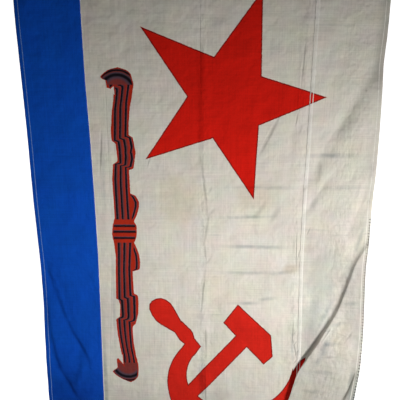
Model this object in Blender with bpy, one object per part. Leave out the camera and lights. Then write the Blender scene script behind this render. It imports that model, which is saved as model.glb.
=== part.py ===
"""A worn cloth flag that hangs by its hoist edge, in three sewn panels.

Metres, +Z up. The flag faces -Y, with its stripe on the left. The origin is the middle of the
hoist edge, which is the top edge as it hangs, so the cloth reaches down from z = 0.
"""

import bmesh
import bpy
import numpy as np

# The cloth, laid flat
WIDTH = 1.150  # from edge to edge, across the hanging flag
DROP = 1.750  # from the hoist edge at the top to the fly edge at the bottom
STRIPE_SEAM = 0.202  # from the left edge to the seam of the stripe
STRIP_SEAM = 0.923  # from the left edge to the seam of the narrow white strip
LAP = 0.012  # the two cloths of a seam lie over each other for this width

# Thicknesses
CLOTH = 0.0012
LAYER = 0.0016  # from the middle of one cloth to the middle of the next in a lapped seam

# The mesh
ROW_STEPS = (  # (down, rows from here to the next station), closest where a pleat crosses a seam
    (0.00, 4),
    (0.20, 17),
    (0.98, 6),
    (1.22, 18),
    (1.46, 8),
    (1.75, 0),
)
STRIPE_COLUMNS = 12
FIELD_COLUMNS = 28
STRIP_COLUMNS = 20
LAP_COLUMNS = 4  # the same on both cloths of a seam, so that they stay parallel through a fold
STEP = 0.001  # the walk across a row is worked out in steps of this length
COLUMN_TURN = 14.0  # degrees of bend that draw a column as much as 10 mm of flat cloth do
FLAT_COLUMN = 0.010

# How far the cloth hangs in front of the upright plane: (down, left edge, strip seam)
SWAY = (
    (0.00, 0.000, 0.000),
    (0.15, 0.006, 0.004),
    (0.45, 0.000, 0.000),
    (0.75, -0.006, -0.009),
    (0.95, -0.011, -0.002),
    (1.10, -0.003, 0.018),
    (1.25, 0.015, 0.040),
    (1.40, 0.030, 0.052),
    (1.75, 0.040, 0.062),
)
STILL = 0.565  # distance from the left edge of the line that hangs plumb

# Soft folds: each a path of (across, down, degrees of slope, half width)
# A ridge has a positive slope and stands towards the viewer, and a trough has a negative one.
UPPER_TROUGH = (
    (1.160, 0.225, 0.0, 0.030),
    (1.139, 0.287, -8.0, 0.030),
    (1.064, 0.435, -11.0, 0.024),
    (1.030, 0.500, -12.0, 0.020),
    (0.950, 0.640, -9.0, 0.018),
    (0.900, 0.725, 0.0, 0.018),
)
HEM_TROUGH = (
    (1.150, 0.660, 0.0, 0.014),
    (1.139, 0.705, -12.0, 0.014),
    (1.099, 0.829, -12.0, 0.014),
    (1.075, 0.890, 0.0, 0.014),
)
SEAM_TROUGH = (
    (1.005, 0.650, 0.0, 0.011),
    (0.986, 0.688, -13.0, 0.011),
    (0.934, 0.776, -13.0, 0.011),
    (0.915, 0.820, 0.0, 0.011),
)
STRIPE_TROUGH = (
    (0.010, 0.900, 0.0, 0.014),
    (0.028, 0.977, -7.0, 0.014),
    (0.066, 1.073, -12.0, 0.014),
    (0.096, 1.205, -12.0, 0.014),
    (0.134, 1.310, -8.0, 0.014),
    (0.160, 1.390, 0.0, 0.014),
)
STRIPE_LOW_TROUGH = (
    (0.000, 1.240, 0.0, 0.015),
    (0.018, 1.300, -10.0, 0.015),
    (0.062, 1.410, -13.0, 0.015),
    (0.116, 1.505, -11.0, 0.015),
    (0.180, 1.640, 0.0, 0.018),
)
STRIPE_RIDGE = (
    (0.165, 1.270, 0.0, 0.012),
    (0.153, 1.320, 10.0, 0.012),
    (0.112, 1.440, 10.0, 0.012),
    (0.090, 1.530, 0.0, 0.012),
)
SOFT_FOLDS = (
    UPPER_TROUGH,
    HEM_TROUGH,
    SEAM_TROUGH,
    STRIPE_TROUGH,
    STRIPE_LOW_TROUGH,
    STRIPE_RIDGE,
)

# Pleats, where the cloth on the right comes forward over the cloth on the left:
# each a path of (across, down, degrees of turn, width of the turned cloth)
LONG_PLEAT = (
    (1.160, 0.845, 0.0, 0.010),
    (1.150, 0.882, 25.0, 0.012),
    (1.112, 0.955, 55.0, 0.016),
    (1.088, 1.041, 66.0, 0.018),
    (1.054, 1.137, 70.0, 0.018),
    (1.004, 1.229, 82.0, 0.018),
    (0.956, 1.320, 112.0, 0.017),
    (0.931, 1.365, 140.0, 0.018),
    (0.924, 1.425, 160.0, 0.021),
    (0.920, 1.490, 164.0, 0.027),
    (0.900, 1.750, 164.0, 0.030),
)
HEM_PLEAT = (
    (1.150, 1.300, 0.0, 0.008),
    (1.134, 1.375, 30.0, 0.008),
    (1.106, 1.480, 42.0, 0.008),
    (1.060, 1.620, 20.0, 0.010),
    (1.040, 1.720, 0.0, 0.010),
)
PLEATS = (LONG_PLEAT, HEM_PLEAT)
BEND = 0.0050  # half the cloth that each bend of a pleat takes

# Degrees by which the cloth leans forward towards the right, at stations down the flag
STRIP_LEAN = ((0.00, -2.0), (0.30, -2.0), (0.50, 2.0), (0.70, 6.0), (0.88, 5.0), (1.00, 0.0))
FLAP_LEAN = ((0.85, 0.0), (1.00, 7.0), (1.20, 10.0), (1.35, 14.0), (1.50, 18.0), (1.75, 18.0))
LEAN_SPREAD = 0.020  # how gently each lean begins, across the cloth

# The free edge of the narrow strip has stretched: (down, share by which it is wider)
STRETCH = ((1.25, 0.00), (1.40, 0.03), (1.50, 0.06), (1.75, 0.07))

STRIPE_BLUE = (0.013, 0.050, 0.285)
FIELD_WHITE = (0.640, 0.585, 0.500)
STRIP_WHITE = (0.610, 0.565, 0.490)


def clear_scene():
    for obj in list(bpy.data.objects):
        bpy.data.objects.remove(obj, do_unlink=True)


def cloth_material(name, color):
    material = bpy.data.materials.new(name)
    material.use_nodes = True
    shader = material.node_tree.nodes["Principled BSDF"]
    shader.inputs["Base Color"].default_value = (*color, 1.0)
    shader.inputs["Roughness"].default_value = 0.92
    shader.inputs["Metallic"].default_value = 0.0
    return material


def eased(down, stations, column):
    """The value in a column of the stations at this distance down, with soft changes of slope."""
    places = [station[0] for station in stations]
    values = [station[column] for station in stations]
    spread = 0.03
    around = [np.interp(down + k * spread, places, values) for k in (-1, -0.5, 0, 0.5, 1)]
    return float(np.dot(around, (0.1, 0.25, 0.3, 0.25, 0.1)))


def along(path, down):
    """Where a fold's path crosses a row: (across, degrees, width), or None above or below it."""
    if not path[0][1] <= down <= path[-1][1]:
        return None
    stations = [(point[1], point[0], point[2], point[3]) for point in path]
    return tuple(eased(down, stations, column) for column in (1, 2, 3))


def soft_fold(across, center, degrees, half_width):
    """The slope of a rounded ridge or trough: steepest half_width to either side of its middle."""
    t = (across - center) / half_width
    return -np.radians(degrees) * t * np.exp((1 - t**2) / 2)


def pleat(across, center, degrees, width):
    """The turn of a pleat: cloth that turns forward, runs for its width and turns back."""
    into = np.tanh((across - center + width / 2) / BEND)
    out_of = np.tanh((across - center - width / 2) / BEND)
    return np.radians(degrees) * (into - out_of) / 2


def hung_row(down):
    """One row of the hanging cloth: its distances across, and x, y and heading at each of them.

    The heading is the angle by which the cloth turns from +X towards the viewer, so the row keeps
    its flat length however deep its folds are.
    """
    across = np.arange(0.0, WIDTH + STEP / 2, STEP)
    left = eased(down, SWAY, 1)
    seam = eased(down, SWAY, 2)
    heading = np.full_like(across, np.arcsin((seam - left) / STRIP_SEAM))
    for path in SOFT_FOLDS:
        crossing = along(path, down)
        if crossing:
            heading += soft_fold(across, *crossing)
    for path in PLEATS:
        crossing = along(path, down)
        if crossing:
            heading += pleat(across, *crossing)
    pleat_line = eased(down, [(point[1], point[0]) for point in LONG_PLEAT], 1)
    for start, lean in ((STRIP_SEAM, STRIP_LEAN), (pleat_line, FLAP_LEAN)):
        beyond = (1 + np.tanh((across - start) / LEAN_SPREAD)) / 2
        heading += np.radians(eased(down, lean, 1)) * beyond

    still = int(round(STILL / STEP))
    length = np.where(across > STRIP_SEAM, 1 + eased(down, STRETCH, 1), 1.0) * STEP
    x = np.cumsum(np.cos(heading) * length)
    y = -np.cumsum(np.sin(heading) * length)
    x += STILL - WIDTH / 2 - x[still]
    y += -(left + (seam - left) * STILL / STRIP_SEAM) - y[still]
    return across, x, y, heading


def row_places():
    """Distances down for the rows of the mesh."""
    places = []
    for (down, rows), (next_down, _) in zip(ROW_STEPS, ROW_STEPS[1:]):
        places += [down + (next_down - down) * k / rows for k in range(rows)]
    return [*places, DROP]


def gathered(across, heading, start, end, count):
    """Distances across for this many columns, which gather where the cloth bends."""
    bend = np.abs(np.gradient(heading, STEP))
    pull = 1 / FLAT_COLUMN + np.degrees(bend) / COLUMN_TURN
    inside = (across >= start) & (across <= end)
    total = np.concatenate([[0.0], np.cumsum(pull[inside]) * STEP])
    places = np.linspace(start, end, len(total))
    return np.interp(np.linspace(0, total[-1], count + 1), total, places)


def columns(across, heading, start, end, count):
    """Distances across for the columns of a panel, with even ones in each lapped seam."""
    first, last = start, end
    left, right = [], []
    if start > 0:
        first = start + LAP
        left = list(np.linspace(start, first, LAP_COLUMNS + 1))[:-1]
    if end < WIDTH:
        last = end - LAP
        right = list(np.linspace(last, end, LAP_COLUMNS + 1))[1:]
    middle = gathered(across, heading, first, last, count - len(left) - len(right))
    return [*left, *middle, *right]


def hang_panel(name, start, end, count, behind, color):
    """One panel of cloth from start to end across the flag, hung in the folds of the flag."""
    mesh = bpy.data.meshes.new(name)
    places_down = row_places()
    last_row = len(places_down) - 1
    bm = bmesh.new()
    bmesh.ops.create_grid(bm, x_segments=count, y_segments=last_row, size=0.5)
    rows = {}
    for vert in bm.verts:
        column = round((vert.co.x + 0.5) * count)
        row = round((0.5 - vert.co.y) * last_row)
        rows.setdefault(row, {})[column] = vert
    for row, verts in rows.items():
        down = places_down[row]
        across, x, y, heading = hung_row(down)
        for column, place in enumerate(columns(across, heading, start, end, count)):
            turn = np.interp(place, across, heading)
            verts[column].co = (
                np.interp(place, across, x) + behind * np.sin(turn),
                np.interp(place, across, y) + behind * np.cos(turn),
                -down,
            )
    bmesh.ops.recalc_face_normals(bm, faces=bm.faces)
    bm.to_mesh(mesh)
    bm.free()
    obj = bpy.data.objects.new(name, mesh)
    bpy.context.scene.collection.objects.link(obj)
    mesh.materials.append(cloth_material(name, color))
    mesh.shade_smooth()
    body = obj.modifiers.new("cloth", "SOLIDIFY")
    body.thickness = CLOTH
    body.offset = 0.0
    return obj


def build_flag():
    half = LAP / 2
    hang_panel("blue_stripe", 0.0, STRIPE_SEAM + half, STRIPE_COLUMNS, 0.0, STRIPE_BLUE)
    hang_panel(
        "white_field", STRIPE_SEAM - half, STRIP_SEAM + half, FIELD_COLUMNS, LAYER, FIELD_WHITE
    )
    hang_panel("white_strip", STRIP_SEAM - half, WIDTH, STRIP_COLUMNS, 0.0, STRIP_WHITE)


clear_scene()
build_flag()
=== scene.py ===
# %% [markdown]
# A worn cloth flag, hanging
#
# The real thing is three lengths of plain cotton, dyed and printed, sewn side by side and hung from
# one short edge. Nothing in it is stiff, so all of its form is folds: a long diagonal pleat, a few
# soft troughs and the creases of years in a locker. The lesson makes every piece flat, as it would
# lie on a cutting table, and then hangs all of them with one function. Simulated cloth would fall in
# folds of its own, and this flag has to keep the ones that it was seen in.

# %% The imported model
import math

import bmesh
import bpy
import numpy as np
from mathutils import Euler, Matrix, Vector


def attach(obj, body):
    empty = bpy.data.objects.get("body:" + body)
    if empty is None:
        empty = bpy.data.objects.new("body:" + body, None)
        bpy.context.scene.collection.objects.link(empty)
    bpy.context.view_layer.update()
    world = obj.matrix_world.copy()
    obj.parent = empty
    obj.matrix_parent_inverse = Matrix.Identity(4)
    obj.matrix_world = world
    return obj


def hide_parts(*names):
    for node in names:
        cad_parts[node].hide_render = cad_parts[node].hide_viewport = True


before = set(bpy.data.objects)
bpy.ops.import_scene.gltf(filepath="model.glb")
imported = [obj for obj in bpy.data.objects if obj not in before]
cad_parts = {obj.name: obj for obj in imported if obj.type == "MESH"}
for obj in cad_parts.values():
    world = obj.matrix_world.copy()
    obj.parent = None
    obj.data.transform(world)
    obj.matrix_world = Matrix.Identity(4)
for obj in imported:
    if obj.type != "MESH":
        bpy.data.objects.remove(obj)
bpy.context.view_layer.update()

print("panels in the frame:", sorted(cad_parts))

# %% [markdown]
# The camera
#
# The flag was seen from a little above its middle with a normal lens, tipped down by 14 degrees,
# which makes its sides lean towards each other lower down. The lens is found from the width of the
# flag in the picture, and the height from how tall the star looks.

# %% The camera
IMAGE = 400
LENS_PIXELS = 430.0
SENSOR = 36.0
TIP_DOWN = math.radians(14.3)
CAMERA_PLACE = (-0.010, -1.415, -0.3796)


def set_camera():
    data = bpy.data.cameras.new("camera")
    data.sensor_width = SENSOR
    data.lens = SENSOR * LENS_PIXELS / IMAGE
    camera = bpy.data.objects.new("camera", data)
    bpy.context.scene.collection.objects.link(camera)
    camera.location = CAMERA_PLACE
    camera.rotation_euler = Euler((math.pi / 2 - TIP_DOWN, 0, 0))
    bpy.context.scene.camera = camera
    return camera


camera = set_camera()
print("lens in mm:", round(camera.data.lens, 1))

# %% [markdown]
# The room
#
# A flag is photographed against plain white paper. One sheet of it runs down the wall and out along
# the floor in a curve, so no line shows behind the cloth. A soft light hangs in front, lower than the
# middle of the flag and to its right. That leaves the hoist end darker, and shades the side of each
# fold that faces left. A weaker light fills from the left.

# %% The room
FLOOR = -1.95
WALL = 2.2
SIDE = 10
FRONT = -0.3  # the paper ends just before the flag, or its floor would light the folds from below
PAPER_TOP = 8
CURVE = 1  # radius of the paper's curve from floor to wall, and how many flat parts make it
CURVE_PARTS = 8
SPREAD = 104  # degrees to which the lights open


def paper_material():
    material = bpy.data.materials.new("white_paper")
    material.use_nodes = True
    shader = material.node_tree.nodes["Principled BSDF"]
    shader.inputs["Base Color"].default_value = (0.95, 0.95, 0.95, 1)
    shader.inputs["Roughness"].default_value = 1.0
    shader.inputs["Emission Color"].default_value = (1, 1, 1, 1)
    shader.inputs["Emission Strength"].default_value = 0.85
    return material


def make_backdrop():
    bm = bmesh.new()
    edge = [bm.verts.new((-SIDE, FRONT, FLOOR))]
    edge.append(bm.verts.new((-SIDE, WALL - CURVE, FLOOR)))
    for k in range(1, CURVE_PARTS + 1):
        turn = k / CURVE_PARTS * math.pi / 2
        back = WALL - CURVE + CURVE * math.sin(turn)
        edge.append(bm.verts.new((-SIDE, back, FLOOR + CURVE - CURVE * math.cos(turn))))
    edge.append(bm.verts.new((-SIDE, WALL, PAPER_TOP)))
    lines = [bm.edges.new(pair) for pair in zip(edge, edge[1:])]
    out = bmesh.ops.extrude_edge_only(bm, edges=lines)
    moved = [v for v in out["geom"] if isinstance(v, bmesh.types.BMVert)]
    bmesh.ops.translate(bm, verts=moved, vec=(2 * SIDE, 0, 0))
    mesh = bpy.data.meshes.new("backdrop")
    bm.to_mesh(mesh)
    bm.free()
    backdrop = bpy.data.objects.new("backdrop", mesh)
    bpy.context.scene.collection.objects.link(backdrop)
    mesh.materials.append(paper_material())
    mesh.shade_smooth()
    return backdrop


def soft_light(name, place, towards, size, watts):
    data = bpy.data.lights.new(name, "AREA")
    data.shape = "RECTANGLE"
    data.size, data.size_y = size
    data.energy = watts
    data.spread = math.radians(SPREAD)
    light = bpy.data.objects.new(name, data)
    bpy.context.scene.collection.objects.link(light)
    light.location = place
    light.rotation_euler = (Vector(towards) - Vector(place)).to_track_quat("-Z", "Y").to_euler()
    return light


make_backdrop()
soft_light("right_light", (1.25, -1.25, -1.05), (0.05, 0, -1.0), (0.40, 0.40), 10.4)
soft_light("left_light", (-0.70, -1.20, -1.02), (0, 0, -1.0), (0.5, 0.5), 1.7)
world = bpy.data.worlds.new("world")
bpy.context.scene.world = world
world.use_nodes = True
world.node_tree.nodes["Background"].inputs["Color"].default_value = (1, 1, 1, 1)
world.node_tree.nodes["Background"].inputs["Strength"].default_value = 0.04
bpy.context.scene.view_settings.view_transform = "Standard"

# %% [markdown]
# The folds
#
# Cloth bends and doesn't stretch, so each row across the flag is walked in small steps of equal
# length, and at each step only the heading turns. A ridge turns the row forward and back, and a
# pleat turns it right round, so that the cloth on its right lies over the cloth on its left. A
# height map couldn't make that fold. The sizes are close to those of the solids, so the fine cloth
# lies on them. At the end the edges and one seam are moved by a few millimetres, because a sewn
# flag is never quite straight.

# %% The folds
WIDTH = 1.150
DROP = 1.750
STRIPE_SEAM = 0.202
STRIP_SEAM = 0.923
LAP = 0.012
STEP = 0.001  # the walk across a row is worked out in steps of this length
STILL = 0.565  # distance from the left edge of the line that hangs plumb
FOOT_BEND = ((0.85, 0.0085), (1.15, 0.0085), (1.26, 0.0040), (1.75, 0.0040))  # (down, softness)
LIP_BEND = 0.0026  # softness of the bend at a pleat's upper side, where the foot's is given above
LEAN_SPREAD = 0.020  # how gently each lean begins, across the cloth
EASE = 0.03  # changes down the cloth are softened over twice this distance

SWAY = (  # (down, forward at the left edge, forward at the strip seam)
    (0.00, 0.000, 0.000),
    (0.15, 0.006, 0.004),
    (0.45, 0.000, 0.000),
    (0.75, -0.006, -0.009),
    (0.95, -0.011, -0.002),
    (1.10, -0.003, 0.018),
    (1.25, 0.015, 0.040),
    (1.40, 0.030, 0.052),
    (1.75, 0.040, 0.062),
)
UPPER_TROUGH = (  # (across, down, degrees of slope, half width), as in every soft fold
    (1.160, 0.225, 0.0, 0.030),
    (1.139, 0.287, -8.0, 0.030),
    (1.064, 0.435, -11.0, 0.024),
    (1.030, 0.500, -12.0, 0.020),
    (0.950, 0.640, -9.0, 0.018),
    (0.900, 0.725, 0.0, 0.018),
)
HEM_TROUGH = (
    (1.150, 0.660, 0.0, 0.014),
    (1.139, 0.705, -12.0, 0.014),
    (1.099, 0.829, -12.0, 0.014),
    (1.075, 0.890, 0.0, 0.014),
)
SEAM_TROUGH = (
    (1.005, 0.650, 0.0, 0.011),
    (0.986, 0.688, -13.0, 0.011),
    (0.934, 0.776, -13.0, 0.011),
    (0.915, 0.820, 0.0, 0.011),
)
STRIPE_TROUGH = (
    (0.010, 0.900, 0.0, 0.014),
    (0.028, 0.977, -7.0, 0.014),
    (0.066, 1.073, -12.0, 0.014),
    (0.096, 1.205, -12.0, 0.014),
    (0.134, 1.310, -8.0, 0.014),
    (0.160, 1.390, 0.0, 0.014),
)
STRIPE_LOW_TROUGH = (
    (0.000, 1.240, 0.0, 0.015),
    (0.018, 1.300, -10.0, 0.015),
    (0.062, 1.410, -13.0, 0.015),
    (0.116, 1.505, -11.0, 0.015),
    (0.180, 1.640, 0.0, 0.018),
)
STRIPE_RIDGE = (
    (0.165, 1.270, 0.0, 0.012),
    (0.153, 1.320, 10.0, 0.012),
    (0.112, 1.440, 10.0, 0.012),
    (0.090, 1.530, 0.0, 0.012),
)
SOFT_FOLDS = (
    UPPER_TROUGH,
    HEM_TROUGH,
    SEAM_TROUGH,
    STRIPE_TROUGH,
    STRIPE_LOW_TROUGH,
    STRIPE_RIDGE,
)
LONG_PLEAT = (  # (across, down, degrees of turn, width of the turned cloth), as in every pleat
    (1.160, 0.845, 0.0, 0.010),
    (1.150, 0.882, 25.0, 0.012),
    (1.112, 0.955, 52.0, 0.013),
    (1.088, 1.041, 62.0, 0.013),
    (1.054, 1.137, 66.0, 0.013),
    (1.004, 1.229, 80.0, 0.014),
    (0.956, 1.320, 112.0, 0.016),
    (0.937, 1.365, 140.0, 0.018),
    (0.933, 1.425, 160.0, 0.021),
    (0.926, 1.490, 164.0, 0.027),
    (0.900, 1.750, 164.0, 0.030),
)
HEM_PLEAT = (
    (1.150, 1.300, 0.0, 0.008),
    (1.134, 1.375, 30.0, 0.008),
    (1.106, 1.480, 42.0, 0.008),
    (1.060, 1.620, 20.0, 0.010),
    (1.040, 1.720, 0.0, 0.010),
)
PLEATS = (LONG_PLEAT, HEM_PLEAT)
# The next three are (down, degrees) of the strip and of the flap, and (down, stretch) of the strip.
STRIP_LEAN = ((0.00, -2.0), (0.30, -2.0), (0.50, 2.0), (0.70, 6.0), (0.88, 5.0), (1.00, 0.0))
FLAP_LEAN = ((0.85, 0.0), (1.00, 7.0), (1.20, 10.0), (1.35, 14.0), (1.50, 18.0), (1.75, 18.0))
STRETCH = ((1.25, 0.00), (1.40, 0.03), (1.50, 0.06), (1.75, 0.07))
WANDER = (  # (down, how far the left edge, the stripe's seam and the right edge lie to the left)
    (0.00, 0.0000, 0.0040, 0.0025),
    (0.35, 0.0000, 0.0045, 0.0028),
    (0.55, 0.0012, 0.0005, 0.0005),
    (0.75, 0.0030, 0.0000, 0.0015),
    (1.10, 0.0030, 0.0000, 0.0030),
    (1.33, 0.0035, -0.0022, 0.0045),
    (1.50, 0.0035, 0.0000, 0.0000),
    (1.75, 0.0035, 0.0000, 0.0000),
)
WANDER_ENDS = 0.280  # the seam's wander is gone this far from the left edge
print("soft folds:", len(SOFT_FOLDS), "pleats:", len(PLEATS))

# %% [markdown]
# Walking the rows
#
# A row could be bent by hand, but its length would change with each correction. Here the folds that
# cross a row are added up as one heading at every millimetre, and the row is the walk that follows
# it, so the cloth keeps its width whatever the folds do. Rows lie close enough together for a path
# to run smoothly from one to the next.

# %% Walking the rows


def eased(down, stations, column):
    """The value in a column of the stations at this distance down, with soft changes of slope."""
    places = [station[0] for station in stations]
    values = [station[column] for station in stations]
    around = [np.interp(down + k * EASE, places, values) for k in (-1, -0.5, 0, 0.5, 1)]
    return float(np.dot(around, (0.1, 0.25, 0.3, 0.25, 0.1)))


def along(path, down):
    """Where a fold's path crosses a row: (across, degrees, width), or None above or below it."""
    if not path[0][1] <= down <= path[-1][1]:
        return None
    stations = [(point[1], point[0], point[2], point[3]) for point in path]
    return tuple(eased(down, stations, column) for column in (1, 2, 3))


def soft_fold(across, center, degrees, half_width):
    """Heading of a trough: the row turns away, then back by as much, and leaves as it came."""
    t = (across - center) / half_width
    return -np.radians(degrees) * t * np.exp((1 - t**2) / 2)


def pleat(across, center, degrees, width, foot):
    """Heading of a pleat: the row turns by these degrees at its foot and back at its lip."""
    into = np.tanh((across - center + width / 2) / foot)
    out_of = np.tanh((across - center - width / 2) / LIP_BEND)
    return np.radians(degrees) * (into - out_of) / 2


def hung_row(down):
    """One row of the hanging cloth: x, y and heading at every millimetre across it."""
    across = np.arange(0.0, WIDTH + STEP / 2, STEP)
    left = eased(down, SWAY, 1)
    seam = eased(down, SWAY, 2)
    heading = np.full_like(across, np.arcsin((seam - left) / STRIP_SEAM))
    for path in SOFT_FOLDS:
        crossing = along(path, down)
        if crossing:
            heading += soft_fold(across, *crossing)
    for path in PLEATS:
        crossing = along(path, down)
        if crossing:
            heading += pleat(across, *crossing, eased(down, FOOT_BEND, 1))
    pleat_line = eased(down, [(point[1], point[0]) for point in LONG_PLEAT], 1)
    for start, lean in ((STRIP_SEAM, STRIP_LEAN), (pleat_line, FLAP_LEAN)):
        beyond = (1 + np.tanh((across - start) / LEAN_SPREAD)) / 2
        heading += np.radians(eased(down, lean, 1)) * beyond

    still = int(round(STILL / STEP))
    length = np.where(across > STRIP_SEAM, 1 + eased(down, STRETCH, 1), 1.0) * STEP
    x = np.cumsum(np.cos(heading) * length)
    y = -np.cumsum(np.sin(heading) * length)
    x += STILL - WIDTH / 2 - x[still]
    y += -(left + (seam - left) * STILL / STRIP_SEAM) - y[still]
    at_edge, at_seam, at_fly = (eased(down, WANDER, column) for column in (1, 2, 3))
    lines = (0, STRIPE_SEAM, WANDER_ENDS, STRIP_SEAM, WIDTH)
    x -= np.interp(across, lines, (at_edge, at_seam, 0, 0, at_fly))
    return x, y, heading


ROW = 0.0025  # from one walked row to the next
DOWNS = np.arange(0.0, DROP + ROW / 2, ROW)
HUNG = np.array([hung_row(down) for down in DOWNS])
print("rows walked:", len(DOWNS), "deepest point in front:", round(-HUNG[:, 1].min(), 3))

# %% [markdown]
# Slack cloth
#
# Between its folds an old flag never hangs quite flat. Broad, low waves run through it, along each
# seam and hem the stitches draw the cloth into small gathers, and folds of long ago have left low,
# sharp steps. All three are too wide for a material to fake from the side, so they are heights in
# the mesh. Each step is a path down the cloth, with a rise that fades out on both sides of it.

# %% Slack cloth
BROAD_WAVES = 0.0016  # heights of the waves and of the gathers
CLOSE_WAVES = 0.0003
GATHERS = 0.00022


def slack(across, down):
    """Height of the broad waves and of the closer ones on them."""
    wide = np.sin(across * 23 + 1.9 * np.sin(down * 5.1)) * np.sin(down * 7.3 + across * 4.0)
    close = np.sin(across * 71 + 2.3 * np.sin(down * 13)) * np.sin(down * 31 + 1.7)
    return BROAD_WAVES * wide + CLOSE_WAVES * close


def puckers(across, down):
    """Height of the gathers along each line of stitches."""
    height = np.zeros(across.shape)
    for line, reach in ((STRIPE_SEAM, 0.016), (STRIP_SEAM, 0.018), (0.0, 0.014), (WIDTH, 0.018)):
        near = np.exp(-(((across - line) / reach) ** 2))
        waves = np.sin(down * 130 + 3 * np.sin(down * 47)) + 0.6 * np.sin(down * 97 + line * 9)
        height += GATHERS * near * waves
    return height


GROOVES = (  # (rise, half width, path), where the cloth steps forward towards the right
    (0.0046, 0.0090, ((0.020, 0.950), (0.040, 1.053), (0.068, 1.144), (0.100, 1.235), (0.154, 1.324),
                      (0.165, 1.400))),
    (0.0042, 0.0080, ((0.009, 1.090), (0.024, 1.234), (0.045, 1.377), (0.075, 1.426), (0.125, 1.540))),
    (0.0016, 0.0080, ((0.160, 0.980), (0.190, 1.051), (0.194, 1.120))),
    (0.0012, 0.0080, ((0.130, 1.280), (0.123, 1.348), (0.130, 1.450))),
    (0.0043, 0.0230, ((1.160, 0.180), (1.127, 0.320), (1.085, 0.400), (1.047, 0.473), (1.000, 0.560))),
    (0.0009, 0.0120, ((1.127, 0.300), (1.109, 0.360), (1.078, 0.410), (1.047, 0.473), (0.995, 0.560))),
    (0.0026, 0.0110, ((1.022, 0.490), (0.990, 0.545), (0.972, 0.604), (0.963, 0.672), (0.953, 0.770))),
    (0.0026, 0.0080, ((1.142, 0.600), (1.121, 0.739), (1.096, 0.810), (1.083, 0.880))),
    (0.0012, 0.0070, ((0.568, 0.200), (0.568, 0.409), (0.565, 0.537), (0.568, 0.604), (0.585, 0.742),
                      (0.593, 0.813), (0.579, 0.886), (0.586, 0.960), (0.576, 1.070), (0.566, 1.150),
                      (0.569, 1.200), (0.583, 1.235), (0.585, 1.310), (0.580, 1.365), (0.585, 1.442),
                      (0.588, 1.600))),
    (0.0012, 0.0080, ((0.735, 0.680), (0.755, 0.813), (0.771, 0.910))),
    (0.0026, 0.0070, ((1.138, 1.300), (1.127, 1.383), (1.100, 1.520))),
)
TAPER = 0.05  # how far a groove takes to reach its full rise
HELD = 0.05  # how far below the hoist edge the cloth is held flat


def crossing_at(path, down):
    """Where a groove's path crosses these rows, and how much of its rise it has there."""
    downs = [point[1] for point in path]
    center = np.interp(down, downs, [point[0] for point in path])
    begun = np.clip((down - downs[0]) / TAPER, 0, 1)
    return center, begun * np.clip((downs[-1] - down) / TAPER, 0, 1)


def grooves(across, down):
    """Height of the old folds' steps."""
    height = np.zeros(across.shape)
    for rise, half_width, path in GROOVES:
        center, share = crossing_at(path, down)
        t = (across - center) / half_width
        height += rise * share * np.tanh(t) * np.exp(-np.abs(t) / 4)
    return height


def relief(across, down):
    """All the height of the cloth over its main folds, which fades out at the hoist edge."""
    held = np.clip(down / HELD, 0, 1)
    return held * (slack(across, down) + puckers(across, down) + grooves(across, down))


print("steps of old folds:", len(GROOVES), "the highest:", max(rise for rise, *_ in GROOVES))

# %% [markdown]
# Hanging a flat piece
#
# Every piece is made flat, with X across the flag, Y down it as a negative number and Z its height
# over the cloth. This function looks up where the cloth hangs at each point, adds the relief, and
# moves the point there. It keeps the flat place in an attribute, so that a print or a stain stays
# on its threads through every fold, as it does on real cloth.

# %% Hanging a flat piece


def looked_up(table, across, down):
    """Values of a table of rows by millimetres, read between its entries."""
    row = np.clip(down / ROW, 0, len(DOWNS) - 1.001)
    column = np.clip(across / STEP, 0, table.shape[1] - 1.001)
    r, c = row.astype(int), column.astype(int)
    fr, fc = row - r, column - c
    upper = table[r, c] * (1 - fc) + table[r, c + 1] * fc
    lower = table[r + 1, c] * (1 - fc) + table[r + 1, c + 1] * fc
    return upper * (1 - fr) + lower * fr


def hang(obj):
    """Moves a flat piece to where it hangs, and keeps its flat place as an attribute."""
    mesh = obj.data
    flat = np.empty(len(mesh.vertices) * 3, np.float32)
    mesh.vertices.foreach_get("co", flat)
    flat = flat.reshape(-1, 3).astype(float)
    across, down = flat[:, 0], -flat[:, 1]
    on_a = np.clip(across, 0, WIDTH)
    on_d = np.clip(down, 0, DROP)
    height = flat[:, 2] + relief(on_a, on_d)
    heading = looked_up(HUNG[:, 2], on_a, on_d)
    beyond = across - on_a
    x = looked_up(HUNG[:, 0], on_a, on_d) - height * np.sin(heading) + beyond * np.cos(heading)
    y = looked_up(HUNG[:, 1], on_a, on_d) - height * np.cos(heading) - beyond * np.sin(heading)
    hung = np.stack([x, y, -down], 1)
    mesh.vertices.foreach_set("co", hung.astype(np.float32).ravel())
    if "flat" not in mesh.attributes:
        flat[:, 1] = down
        kept = mesh.attributes.new("flat", "FLOAT_VECTOR", "POINT")
        kept.data.foreach_set("vector", flat.astype(np.float32).ravel())
    mesh.update()


def new_piece(name, bm):
    """An object at the origin from a finished bmesh."""
    mesh = bpy.data.meshes.new(name)
    bm.to_mesh(mesh)
    bm.free()
    piece = bpy.data.objects.new(name, mesh)
    bpy.context.scene.collection.objects.link(piece)
    return piece


print("table of the hanging cloth:", HUNG.shape)

# %% [markdown]
# The three panels
#
# Each panel is one length of cloth. Its outer edge is turned to the back and sewn down as a hem, and
# so are its two ends, so the sheet starts on the back, rounds the edge and comes to the front. The
# mesh is one grid per panel. Its columns gather where the cloth bends, as a sewer's pins would, so
# the pleat is round and the flat parts stay light.

# %% The three panels
CLOTH = 0.0007  # thickness of the cloth
LAYER = 0.0010  # from one cloth to the next where they lie on each other
HEM = 0.014
PANEL_ROWS = 250
TURN = 0.0008  # cloth taken by the round edge of a hem
PRESSED = 0.0004  # how far its stitches press the strip's raw edge down, and over what width
PRESSED_WIDTH = 0.004
FLAT_COLUMN = 0.010  # width of a column in flat cloth
COLUMN_TURN = 14.0  # degrees of bend that draw a column as much


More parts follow.
